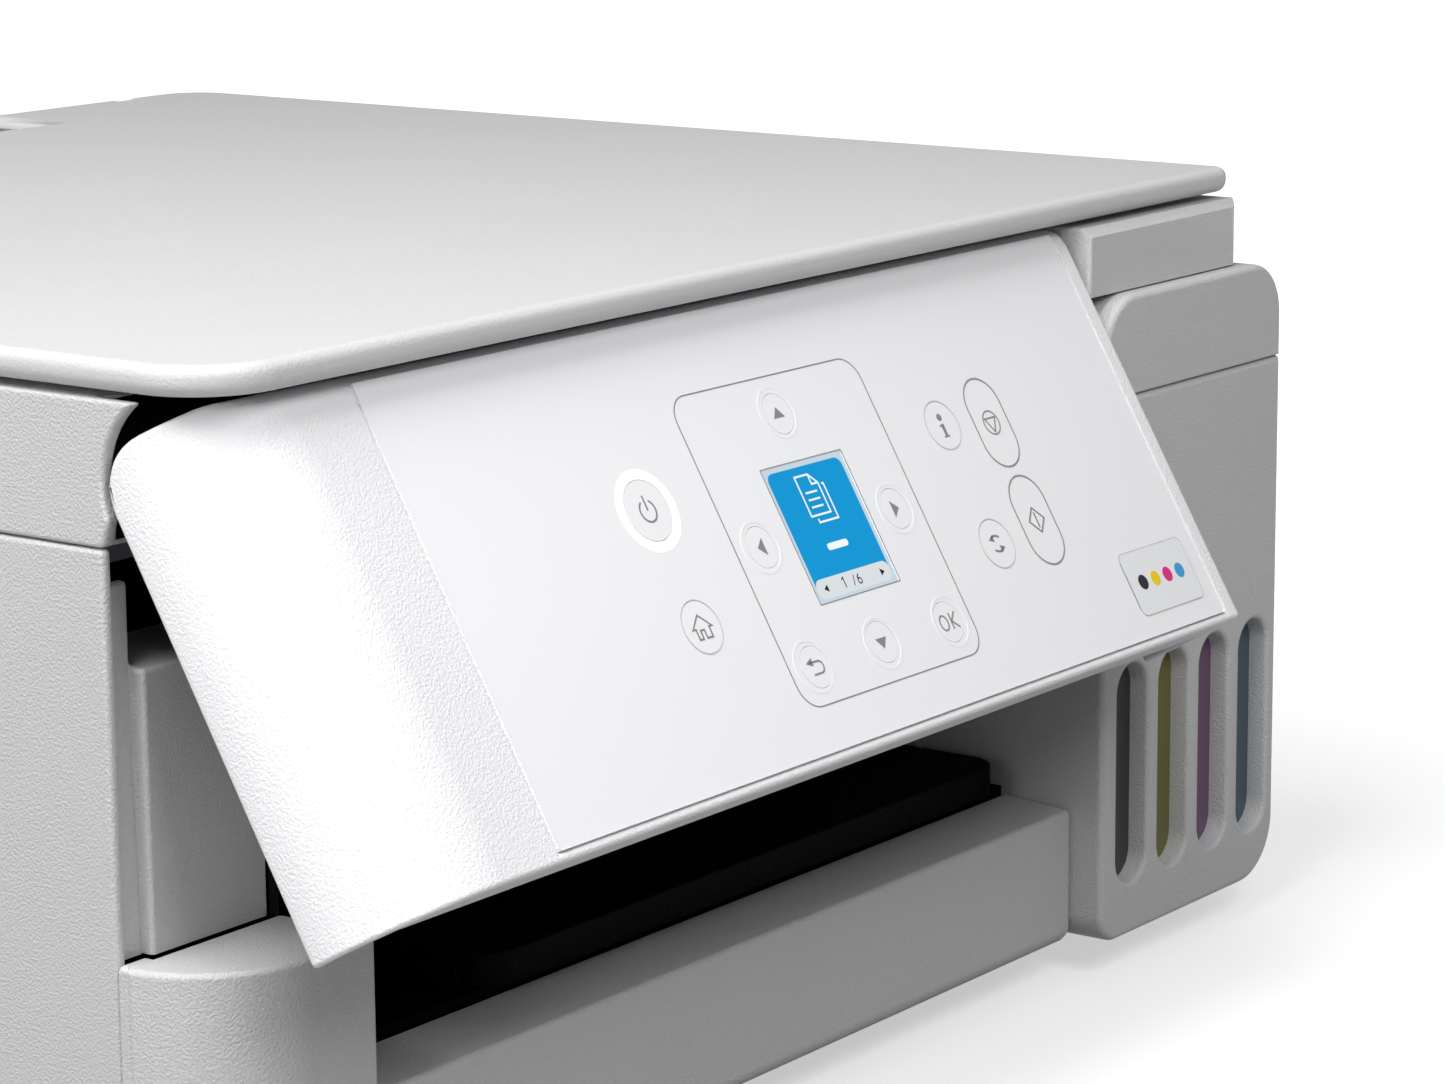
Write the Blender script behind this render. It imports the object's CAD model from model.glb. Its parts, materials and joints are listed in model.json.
"""Dresses a packed inkjet printer: a finish for every solid, and modelled pieces for its shells."""

import json
import logging
import math
from collections.abc import Callable, Iterator
from contextlib import contextmanager
from dataclasses import dataclass
from enum import Enum

import bpy
from mathutils import Matrix, Vector
from mathutils.bvhtree import BVHTree


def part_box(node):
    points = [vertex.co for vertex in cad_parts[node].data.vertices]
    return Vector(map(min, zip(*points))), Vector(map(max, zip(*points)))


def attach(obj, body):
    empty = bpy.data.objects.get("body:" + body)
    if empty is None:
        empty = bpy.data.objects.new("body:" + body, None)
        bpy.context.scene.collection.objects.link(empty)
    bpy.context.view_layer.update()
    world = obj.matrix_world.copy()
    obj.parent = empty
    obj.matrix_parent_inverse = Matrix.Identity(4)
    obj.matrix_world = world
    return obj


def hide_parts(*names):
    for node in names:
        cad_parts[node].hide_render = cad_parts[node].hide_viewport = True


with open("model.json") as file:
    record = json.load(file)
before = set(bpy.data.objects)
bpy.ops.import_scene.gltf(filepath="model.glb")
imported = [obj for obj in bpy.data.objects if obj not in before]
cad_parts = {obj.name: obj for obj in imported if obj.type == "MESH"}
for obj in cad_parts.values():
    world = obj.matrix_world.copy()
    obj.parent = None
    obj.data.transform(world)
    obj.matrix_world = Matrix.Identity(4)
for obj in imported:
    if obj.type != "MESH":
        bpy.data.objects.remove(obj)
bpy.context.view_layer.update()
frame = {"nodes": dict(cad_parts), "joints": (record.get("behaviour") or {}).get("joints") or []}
LOG = logging.getLogger("printer")
MM = 0.001
PRINCIPLED = "ShaderNodeBsdfPrincipled"
SMOOTH_DEGREES = 35.0
SAME_POINT_MM = 0.05
NEAR = 0.1 * MM
ACROSS = Vector((1.0, 0.0, 0.0))
UPWARD = Vector((0.0, 0.0, 1.0))
INKS = ("black", "yellow", "magenta", "cyan")

Pair = tuple[float, float]
Triple = tuple[float, float, float]
Outline = list[Pair]
Piece = bpy.types.Object
Tree = bpy.types.NodeTree
Node = bpy.types.Node
Socket = bpy.types.NodeSocket
Share = Callable[[Vector, Vector], float]


# ---- Small tools ---------------------------------------------------------------------------------


def linear(code: str, alpha: float = 1.0) -> tuple[float, float, float, float]:
    """Turns an sRGB hex colour to the linear values a shader takes.

    Args:
        code: The colour as "#rrggbb".
        alpha: The fourth value.

    Returns:
        Red, green, blue and alpha.
    """
    parts = [int(code[i : i + 2], 16) / 255 for i in (1, 3, 5)]
    flat = [c / 12.92 if c <= 0.04045 else ((c + 0.055) / 1.055) ** 2.4 for c in parts]
    return flat[0], flat[1], flat[2], alpha


def per_metre(size_mm: float) -> float:
    """Returns the texture scale that repeats a pattern every size_mm millimetres."""
    return 1.0 / (size_mm * MM)


def empty_tree(owner: bpy.types.Material | bpy.types.World) -> Tree:
    """Returns the emptied node tree of a material or a world."""
    owner.use_nodes = True
    owner.node_tree.nodes.clear()
    return owner.node_tree


def add_node(tree: Tree, kind: str, settings: dict, links: dict | None = None) -> Node:
    """Adds a shader node with its settings and links.

    Args:
        tree: The node tree it goes into.
        kind: Blender's name for the kind of node.
        settings: Values by property name, or by socket name or number.
        links: The sockets that feed it, by its own socket's name or number.

    Returns:
        The new node.
    """
    node = tree.nodes.new(kind)
    for key, value in settings.items():
        if isinstance(key, str) and hasattr(node, key):
            setattr(node, key, value)
        else:
            node.inputs[key].default_value = value
    for key, source in (links or {}).items():
        tree.links.new(source, node.inputs[key])
    return node


def deselect() -> None:
    """Leaves no object selected."""
    bpy.ops.object.select_all(action="DESELECT")


def activate(piece: Piece) -> None:
    """Makes a piece the only selected object and the active one."""
    deselect()
    piece.select_set(True)
    bpy.context.view_layer.objects.active = piece


@contextmanager
def editing(chosen: str = "SELECT") -> Iterator[None]:
    """Opens the active piece in edit mode, and closes it again.

    Args:
        chosen: "SELECT" for all of it, or "DESELECT" for none.

    Yields:
        Nothing.
    """
    bpy.ops.object.mode_set(mode="EDIT")
    bpy.ops.mesh.select_all(action=chosen)
    yield
    bpy.ops.object.mode_set(mode="OBJECT")


def apply_modifier(piece: Piece, kind: str, **settings: object) -> None:
    """Adds a modifier to a piece and applies it.

    Args:
        piece: The object to change.
        kind: Blender's name for the kind of modifier.
        settings: The modifier's own values.
    """
    activate(piece)
    modifier = piece.modifiers.new(kind.lower(), kind)
    for key, value in settings.items():
        setattr(modifier, key, value)
    bpy.ops.object.modifier_apply(modifier=modifier.name)


def smooth(piece: Piece) -> None:
    """Shades a piece smooth but for its sharp edges."""
    activate(piece)
    bpy.ops.object.shade_smooth_by_angle(angle=math.radians(SMOOTH_DEGREES))


def even_out(piece: Piece) -> None:
    """Shades a piece smooth and keeps the shade of its flat faces flat."""
    smooth(piece)
    apply_modifier(piece, "WEIGHTED_NORMAL", keep_sharp=True)


def joint_place(name: str) -> Vector:
    """Returns where the record puts a joint's axis, in metres."""
    found = next(j for j in frame["joints"] if j["name"] == name)
    return Vector(found["pos_m"])


def arc(middle: Pair, radius: float, start: float, end: float, chords: int) -> Outline:
    """Returns the points of an arc between two angles in degrees, one more than its chords."""
    turns = [math.radians(start + (end - start) * i / chords) for i in range(chords + 1)]
    return [(middle[0] + radius * math.cos(t), middle[1] + radius * math.sin(t)) for t in turns]


def circle(middle: Pair, radius: float, corners: int) -> Outline:
    """Returns the corners of a circle."""
    return arc(middle, radius, 0.0, 360.0 - 360.0 / corners, corners - 1)


def moved(middle: Pair, *points: Pair) -> Outline:
    """Returns points that are given from a middle."""
    return [(middle[0] + x, middle[1] + y) for x, y in points]


def rounded(width: float, height: float, radius: float, middle: Pair = (0.0, 0.0)) -> Outline:
    """Returns the outline of a rectangle with round corners.

    Args:
        width: Its size across.
        height: Its size upward.
        radius: Radius of its corners.
        middle: Its middle.

    Returns:
        Its corners, without any that fall together.
    """
    x, y = width / 2 - radius, height / 2 - radius
    points: Outline = []
    for turn, (side, rise) in enumerate(((1, 1), (-1, 1), (-1, -1), (1, -1))):
        centre = (middle[0] + side * x, middle[1] + rise * y)
        corner = arc(centre, radius, 90.0 * turn, 90.0 * turn + 90.0, 8)
        same = points and math.dist(points[-1], corner[0]) < SAME_POINT_MM
        points += corner[1:] if same else corner
    return points[:-1] if math.dist(points[-1], points[0]) < SAME_POINT_MM else points


def stroke(path: Outline, width: float) -> Outline:
    """Returns the outline of a pen stroke of even width.

    Args:
        path: The points that the pen passes.
        width: The stroke's width.

    Returns:
        The stroke's left side, then its right side backward.
    """
    left, right = [], []
    for i, point in enumerate(path):
        before, after = Vector(path[max(i - 1, 0)]), Vector(path[min(i + 1, len(path) - 1)])
        here = Vector(point)
        into = (here - before).normalized() if i else (after - here).normalized()
        out = (after - here).normalized() if i < len(path) - 1 else into
        along = (into + out).normalized()
        reach = width / 2 / max(along.dot(into), 0.5)
        side = Vector((-along.y, along.x)) * reach
        left.append(tuple(here + side))
        right.append(tuple(here - side))
    return left + right[::-1]


@dataclass(frozen=True)
class WorkPlane:
    """A flat place to model on: an origin and the directions across and up; heights stand out."""

    origin: Vector
    across: Vector
    up: Vector

    def matrix(self) -> Matrix:
        """Returns the matrix that takes the plane's millimetres to the printer's metres."""
        out = self.across.cross(self.up)
        turn = Matrix((self.across * MM, self.up * MM, out * MM)).transposed().to_4x4()
        return Matrix.Translation(self.origin) @ turn

    def extruded(
        self, name: str, outline: Outline, low: float, high: float, border: float | None = None
    ) -> Piece:
        """Models an outline with a thickness.

        Args:
            name: The new object's name.
            outline: Its corners in order, in millimetres on the plane.
            low: Height of its underside above the plane.
            high: Height of its face above the plane.
            border: Width of the border if only that is wanted, or None for the whole shape.

        Returns:
            The new object, with its place in its mesh.
        """
        deselect()
        bpy.ops.mesh.primitive_circle_add(vertices=len(outline), radius=1.0, fill_type="NGON")
        piece = bpy.context.active_object
        piece.name = name
        for vertex, (x, y) in zip(piece.data.vertices, outline):
            vertex.co = (x, y, low)
        with editing():
            if border:
                bpy.ops.mesh.inset(thickness=border, use_even_offset=True)
                bpy.ops.mesh.delete(type="FACE")
                bpy.ops.mesh.select_all(action="SELECT")
            rise = {"value": (0.0, 0.0, high - low)}
            bpy.ops.mesh.extrude_region_move(TRANSFORM_OT_translate=rise)
            bpy.ops.mesh.select_all(action="SELECT")
            bpy.ops.mesh.normals_make_consistent(inside=False)
        piece.data.transform(self.matrix())
        return piece

    def plate(self, name: str, outline: Outline, low: float, high: float) -> Piece:
        """Models a flat plate between two heights."""
        return self.extruded(name, outline, low, high)

    def loop(self, name: str, outline: Outline, width: float, low: float, high: float) -> Piece:
        """Models a closed line of even width, inside an outline and between two heights."""
        return self.extruded(name, outline, low, high, width)


def upright(y: float, across: Vector = ACROSS) -> WorkPlane:
    """Returns an upright plane at a place along the machine's depth, from its foot's middle."""
    return WorkPlane(Vector((0.0, y, 0.0)), across, UPWARD)


def joined(name: str, pieces: list[Piece]) -> Piece:
    """Joins pieces into one object.

    Args:
        name: The object's name.
        pieces: What it is made of.

    Returns:
        The object.
    """
    deselect()
    for piece in pieces:
        piece.select_set(True)
    bpy.context.view_layer.objects.active = pieces[0]
    if len(pieces) > 1:
        bpy.ops.object.join()
    pieces[0].name = name
    return pieces[0]


def round_edges(
    piece: Piece, chosen: Callable[[Vector, Vector], bool], width: float, steps: int
) -> None:
    """Rounds the edges that a test picks, in edit mode.

    Args:
        piece: The object.
        chosen: Says yes or no to an edge from its two ends.
        width: Radius of the rounding in metres.
        steps: Faces across the rounding.
    """
    activate(piece)
    with editing("DESELECT"):
        bpy.ops.mesh.select_mode(type="EDGE")
    points = [v.co.copy() for v in piece.data.vertices]
    for edge in piece.data.edges:
        edge.select = chosen(points[edge.vertices[0]], points[edge.vertices[1]])
    bpy.ops.object.mode_set(mode="EDIT")
    bpy.ops.mesh.bevel(offset=width, segments=steps, affect="EDGES")
    bpy.ops.object.mode_set(mode="OBJECT")


def carve(piece: Piece, cutter: Piece) -> None:
    """Cuts a cutter's shape out of a piece and removes the cutter."""
    apply_modifier(piece, "BOOLEAN", object=cutter, operation="DIFFERENCE", solver="EXACT")
    bpy.data.objects.remove(cutter)


def tighten(
    piece: Piece,
    axes: tuple[int, int],
    corner: Pair,
    sides: tuple[int, int],
    radii_mm: Pair,
    skin_mm: float,
) -> None:
    """Gives a corner that is rounded in plan a smaller radius.

    Args:
        piece: The object, before its edges are rounded.
        axes: The axis the points move along, and the other one of the plan.
        corner: Where the corner's two sides would meet, in metres.
        sides: Which way the corner points along each axis, 1 or -1.
        radii_mm: The radius it has and the one it gets.
        skin_mm: How far below the surface points move too.
    """
    old, new = radii_mm
    shift = old - new
    for vertex in piece.data.vertices:
        u = (vertex.co[axes[0]] - corner[0]) * sides[0] / MM + old
        v = (vertex.co[axes[1]] - corner[1]) * sides[1] / MM + old
        reach = math.hypot(u, v)
        if min(u, v) < -0.01 or not old - skin_mm < reach < old + 0.05:
            continue
        bow = max((reach - shift) ** 2 - (v - shift) ** 2, 0.0)
        wide = shift + math.sqrt(bow) if v > shift else reach
        vertex.co[axes[0]] = corner[0] + sides[0] * (wide - old) * MM


# ---- Finishes ------------------------------------------------------------------------------------


@dataclass(frozen=True)
class Wiring:
    """A material's nodes: its tree, its shader and the place that its patterns are laid by."""

    tree: Tree
    shader: Node
    place: Socket

    def add(self, kind: str, settings: dict, links: dict) -> Node:
        """Adds a node."""
        return add_node(self.tree, kind, settings, links)

    def feed(self, socket: str, source: Socket) -> None:
        """Lets a node feed one of the shader's sockets."""
        self.tree.links.new(source, self.shader.inputs[socket])

    def noise(self, size_mm: float, detail: float, place: Socket | None = None) -> Socket:
        """Adds a noise of a real size."""
        settings = {"Scale": per_metre(size_mm), "Detail": detail}
        links = {"Vector": place or self.place}
        return self.add("ShaderNodeTexNoise", settings, links).outputs["Fac"]

    def spread(self, source: Socket, low: float, high: float) -> Socket:
        """Maps a value from 0 to 1 to another range."""
        ends = {"To Min": low, "To Max": high}
        return self.add("ShaderNodeMapRange", ends, {"Value": source}).outputs[0]

    def bump(self, height: Socket, depth_mm: float, strength: float = 1.0) -> None:
        """Raises the surface by a pattern's height."""
        settings = {"Strength": strength, "Distance": depth_mm * MM}
        self.feed("Normal", self.add("ShaderNodeBump", settings, {"Height": height}).outputs[0])


@dataclass(frozen=True)
class Finish:
    """What every finish has: its name, its colour and how rough its surface is."""

    name: str
    colour: str
    roughness: float = 0.5

    def constants(self) -> dict:
        """Returns what is the same all over the surface, by the shader's socket."""
        return {"Base Color": linear(self.colour), "Roughness": self.roughness}

    def dress(self, wiring: Wiring) -> None:
        """Adds the detail that a kind of finish has; each kind has its own."""

    def gloss(self, wiring: Wiring, source: Socket, down: float, up: float) -> None:
        """Lets the roughness vary with a pattern."""
        wiring.feed("Roughness", wiring.spread(source, self.roughness - down, self.roughness + up))

    def material(self) -> bpy.types.Material:
        """Returns the finish's material, made once."""
        known = bpy.data.materials.get(self.name)
        if known:
            return known
        made = bpy.data.materials.new(self.name)
        tree = empty_tree(made)
        shader = add_node(tree, PRINCIPLED, self.constants())
        place = add_node(tree, "ShaderNodeTexCoord", {}).outputs["Object"]
        self.dress(Wiring(tree, shader, place))
        add_node(tree, "ShaderNodeOutputMaterial", {}, {"Surface": shader.outputs[0]})
        return made


@dataclass(frozen=True)
class MouldedPlastic(Finish):
    """Injection-moulded ABS with a spark-eroded grain: matt, and finely pebbled in raking light."""

    grain_mm: float = 0.55
    grain_depth_mm: float = 0.095
    mottle: float = 0.03
    shine: float = 0.5
    mottle_mm: float = 35.0
    grain_cut: Pair = (0.35, 0.65)

    def constants(self) -> dict:
        """Returns the constants with the plastic's own shine."""
        return super().constants() | {"Specular IOR Level": self.shine}

    def dress(self, wiring: Wiring) -> None:
        """Adds the grain, a broad mottle of the colour and a slightly uneven gloss."""
        grain = wiring.noise(self.grain_mm, 2.0)
        cut = dict(zip(("From Min", "From Max"), self.grain_cut))
        height = wiring.add("ShaderNodeMapRange", cut, {"Value": grain}).outputs[0]
        wiring.bump(height, self.grain_depth_mm)
        shade = wiring.spread(wiring.noise(self.mottle_mm, 3.0), 1.0 - self.mottle, 1.0)
        mix = {"data_type": "RGBA", "blend_type": "MULTIPLY", 0: 1.0, 6: linear(self.colour)}
        wiring.feed("Base Color", wiring.add("ShaderNodeMix", mix, {7: shade}).outputs[2])
        self.gloss(wiring, grain, 0.06, 0.06)


@dataclass(frozen=True)
class PrintedFilm(Finish):
    """Satin polyester film printed from behind: even colour, soft gloss, a hint of orange peel."""

    peel_mm: float = 3.0

    def dress(self, wiring: Wiring) -> None:
        """Adds a very shallow orange peel and an uneven gloss."""
        peel = wiring.noise(self.peel_mm, 1.0)
        wiring.bump(peel, 0.01, 0.4)
        self.gloss(wiring, peel, 0.04, 0.04)


@dataclass(frozen=True)
class RolledSteel(Finish):
    """Zinc-plated sheet steel, cold rolled: cool grey metal with fine streaks along the sheet."""

    streak_mm: float = 0.6
    draw: Triple = (0.04, 1.0, 1.0)

    def constants(self) -> dict:
        """Returns the constants of a metal."""
        return super().constants() | {"Metallic": 1.0}

    def dress(self, wiring: Wiring) -> None:
        """Adds streaks that run along the machine's width."""
        run = wiring.add("ShaderNodeMapping", {"Scale": self.draw}, {"Vector": wiring.place})
        streak = wiring.noise(self.streak_mm, 3.0, run.outputs[0])
        self.gloss(wiring, streak, 0.1, 0.12)
        wiring.bump(streak, 0.01, 0.5)


@dataclass(frozen=True)
class GroundRubber(Finish):
    """Ground or moulded rubber: dull, dark, with a sandy surface."""

    grit_mm: float = 0.5
    dust: float = 1.6

    def dress(self, wiring: Wiring) -> None:
        """Adds a sandy bump and a dusty lift of the colour."""
        grit = wiring.noise(self.grit_mm, 4.0)
        wiring.bump(grit, 0.05)
        ramp = wiring.add("ShaderNodeValToRGB", {}, {"Fac": grit})
        base = linear(self.colour)
        ramp.color_ramp.elements[0].color = base
        ramp.color_ramp.elements[1].color = tuple(c * self.dust for c in base[:3]) + (1.0,)
        wiring.feed("Base Color", ramp.outputs[0])


@dataclass(frozen=True)
class ClearPlastic(Finish):
    """Clear plastic, film or glass: what lies behind shows through, under a faint uneven gloss."""

    cover: float = 0.1
    ripple_mm: float = 4.0

    def constants(self) -> dict:
        """Returns the constants with how much the plastic covers."""
        return super().constants() | {"Alpha": self.cover}

    def dress(self, wiring: Wiring) -> None:
        """Adds a faint ripple."""
        wiring.bump(wiring.noise(self.ripple_mm, 2.0), 0.01, 0.3)


@dataclass(frozen=True)
class LitPlastic(Finish):
    """Plastic lit from behind, such as a display or a light ring: it glows over its own base."""

    glow: float = 1.0
    base: str = "#08080a"
    shine: float = 0.15
    dot_mm: float = 0.4

    def constants(self) -> dict:
        """Returns the constants of a glowing surface."""
        return {
            "Base Color": linear(self.base),
            "Roughness": self.roughness,
            "Specular IOR Level": self.shine,
            "Emission Color": linear(self.colour),
            "Emission Strength": self.glow,
        }

    def dress(self, wiring: Wiring) -> None:
        """Adds the display's fine grid of dots as a shallow bump."""
        scale = {"Scale": per_metre(self.dot_mm)}
        dots = wiring.add("ShaderNodeTexVoronoi", scale, {"Vector": wiring.place})
        wiring.bump(dots.outputs["Distance"], 0.005, 0.1)


@dataclass(frozen=True)
class SolderMask(Finish):
    """A printed circuit board: green lacquer over copper tracks."""

    track_mm: float = 1.2
    gap: float = 0.03
    copper: str = "#3d7a4c"

    def dress(self, wiring: Wiring) -> None:
        """Adds raised tracks, lighter where copper lies below."""
        black, white = linear("#000000"), linear("#ffffff")
        settings = {"Scale": per_metre(self.track_mm * 6), "Mortar Size": self.gap}
        settings |= {"Mortar": white, "Color1": black, "Color2": black}
        run = wiring.add("ShaderNodeTexBrick", settings, {"Vector": wiring.place}).outputs["Color"]
        mix = {"data_type": "RGBA", 6: linear(self.colour), 7: linear(self.copper)}
        wiring.feed("Base Color", wiring.add("ShaderNodeMix", mix, {0: run}).outputs[2])
        wiring.bump(run, 0.03)


class Look(Enum):
    """The finishes of the printer."""

    CASE = MouldedPlastic("grained_case_abs", "#cdcdce", 0.5)
    LID = MouldedPlastic("fine_grained_lid_abs", "#d0d0d1", 0.48, 0.6, 0.045)
    WHITE = MouldedPlastic("white_panel_abs", "#eeeef0", 0.42, 0.6, 0.075, 0.015)
    FILM = PrintedFilm("white_panel_film", "#f2f2f4", 0.32)
    KEY = PrintedFilm("white_key_film", "#f2f2f4", 0.33)
    BLACK = MouldedPlastic("grained_black_abs", "#040405", 0.66, 0.8, 0.1, 0.03, 0.07)
    DARK = MouldedPlastic("dark_grey_abs", "#26262a", 0.5)
    STEEL = RolledSteel("zinc_plated_steel", "#b9bcc2", 0.38)
    RUBBER = GroundRubber("foot_rubber", "#141414", 0.85)
    ROLLER = GroundRubber("roller_rubber", "#3a3a3c", 0.8)
    TANK = ClearPlastic("clear_tank_plastic", "#dfe6ea", 0.16, 0.07)
    GLASS = ClearPlastic("float_glass", "#cfe0da", 0.03, 0.16)
    TUBE = ClearPlastic("clear_tube_plastic", "#d8d8d4", 0.25, 0.6)
    BADGE = PrintedFilm("pale_badge_film", "#ecedef", 0.2)
    LEVEL = ClearPlastic("level_mark_plastic", "#d8d8d4", 0.3, 0.25)
    INK_BLACK = PrintedFilm("black_ink", "#3c3c38", 0.3)
    INK_YELLOW = PrintedFilm("yellow_ink", "#706c3a", 0.3)
    INK_MAGENTA = PrintedFilm("magenta_ink", "#70526f", 0.3)
    INK_CYAN = PrintedFilm("cyan_ink", "#485c6b", 0.3)
    CAP_BLACK = MouldedPlastic("black_cap_plastic", "#1a1a1b", 0.45)
    CAP_YELLOW = MouldedPlastic("yellow_cap_plastic", "#e2bd1c", 0.45)
    CAP_MAGENTA = MouldedPlastic("magenta_cap_plastic", "#c1246f", 0.45)
    CAP_CYAN = MouldedPlastic("cyan_cap_plastic", "#1f8fc4", 0.45)
    DOT_BLACK = PrintedFilm("black_dot_print", "#2a2a2c", 0.35)
    DOT_YELLOW = PrintedFilm("yellow_dot_print", "#f2cf1f", 0.35)
    DOT_MAGENTA = PrintedFilm("magenta_dot_print", "#df2a84", 0.35)
    DOT_CYAN = PrintedFilm("cyan_dot_print", "#3f9fd8", 0.35)
    MARK = PrintedFilm("grey_mark_print", "#8b8b8d", 0.35)
    FAINT_MARK = PrintedFilm("pale_mark_print", "#c2c2c4", 0.35)
    SCREEN_EDGE = LitPlastic("display_border", "#c9dbe6", 0.55, 0.95)
    SCREEN_FIELD = LitPlastic("display_field", "#0099d8", 0.55, 0.95)
    SCREEN_BAR = LitPlastic("display_bar", "#dfe4e7", 0.55, 0.95)
    SCREEN_WHITE = LitPlastic("display_icon", "#f4f7fa", 0.55, 1.0)
    SCREEN_BLACK = LitPlastic("display_figure", "#202224", 0.55, 0.9)
    HALO = LitPlastic("power_light", "#ffffff", 0.4, 1.0, "#e0e0e0")
    HALO_EDGE = LitPlastic("power_light_edge", "#ffffff", 0.4, 0.35, "#e0e0e2")
    BOARD = SolderMask("green_solder_mask", "#14502b", 0.35)


# ---- Assemblies ----------------------------------------------------------------------------------


@dataclass
class Assembly:
    """A group of solids and pieces that are made together."""

    name: str
    sharp_degrees: float = 32.0
    flat_degrees: float = 0.3
    weld_mm: float = 0.001
    stray_share: float = 0.45
    skin_mm: float = 3.0

    def paint(self, look: Look, *nodes: str) -> None:
        """Gives CAD solids a finish.

        Args:
            look: The finish.
            nodes: The solids' names.
        """
        for node in nodes:
            solid = frame["nodes"][node]
            solid.data.materials.clear()
            solid.data.materials.append(look.value.material())

    def place(self, piece: Piece, look: Look, body: str, slot: str, *nodes: str) -> Piece:
        """Finishes a new piece and sets it on its body.

        Args:
            piece: The object, with its place in its mesh.
            look: Its finish.
            body: The CAD body it rides on.
            slot: The record's material slot that it stands for.
            nodes: The CAD solids that it replaces.

        Returns:
            The same object.
        """
        piece.data.materials.clear()
        piece.data.materials.append(look.value.material())
        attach(piece, body)
        if nodes:
            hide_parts(*nodes)
        LOG.info("%s: %s on %s, %d faces", self.name, piece.name, body, len(piece.data.polygons))
        return piece

    def soften(
        self,
        node: str,
        name: str,
        width_mm: float,
        segments: int = 2,
        share: Share | None = None,
        reshape: Callable[[Piece], None] | None = None,
    ) -> Piece:
        """Copies a CAD solid and rounds its sharp edges.

        Args:
            node: The solid's name.
            name: The new piece's name.
            width_mm: Width of the rounding.
            segments: Faces across the rounding.
            share: Says from an edge's two ends what share of the width it gets.
            reshape: Changes the copy before its edges are rounded.

        Returns:
            The rounded copy.
        """
        piece = bpy.data.objects.new(name, frame["nodes"][node].data.copy())
        bpy.context.scene.collection.objects.link(piece)
        activate(piece)
        with editing():
            bpy.ops.mesh.remove_doubles(threshold=self.weld_mm * MM)
            bpy.ops.mesh.dissolve_limited(angle_limit=math.radians(self.flat_degrees))
        if reshape:
            reshape(piece)
        bare = piece.data.copy()
        with editing("DESELECT"):
            bpy.ops.mesh.select_mode(type="EDGE")
            bpy.ops.mesh.edges_select_sharp(sharpness=math.radians(self.sharp_degrees))
        weights = piece.data.attributes.new("bevel_weight_edge", "FLOAT", "EDGE")
        points = [v.co for v in piece.data.vertices]
        for edge, weight in zip(piece.data.edges, weights.data):
            ends = [points[i] for i in edge.vertices]
            weight.value = (share(*ends) if share else 1.0) if edge.select else 0.0
        rounding = {"width": width_mm * MM, "segments": segments, "use_clamp_overlap": False}
        apply_modifier(piece, "BEVEL", limit_method="WEIGHT", **rounding)
        self.settle(piece, bare, width_mm * self.stray_share * MM)
        even_out(piece)
        return piece

    def settle(self, piece: Piece, bare: bpy.types.Mesh, reach: float) -> None:
        """Brings points that a rounding threw off the shape back onto it, and keeps all in its box.

        Args:
            piece: The rounded copy.
            bare: Its mesh before the rounding.
            reach: How far off that surface a point may lie, in metres.
        """
        faces = [tuple(face.vertices) for face in bare.polygons]
        tree = BVHTree.FromPolygons([v.co for v in bare.vertices], faces)
        low = [min(v.co[i] for v in bare.vertices) for i in range(3)]
        high = [max(v.co[i] for v in bare.vertices) for i in range(3)]
        for vertex in piece.data.vertices:
            spot, _, _, off = tree.find_nearest(vertex.co)
            if off > reach:
                vertex.co = spot
            vertex.co = [min(max(c, a), b) for c, a, b in zip(vertex.co, low, high)]
        bpy.data.meshes.remove(bare)


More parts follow.
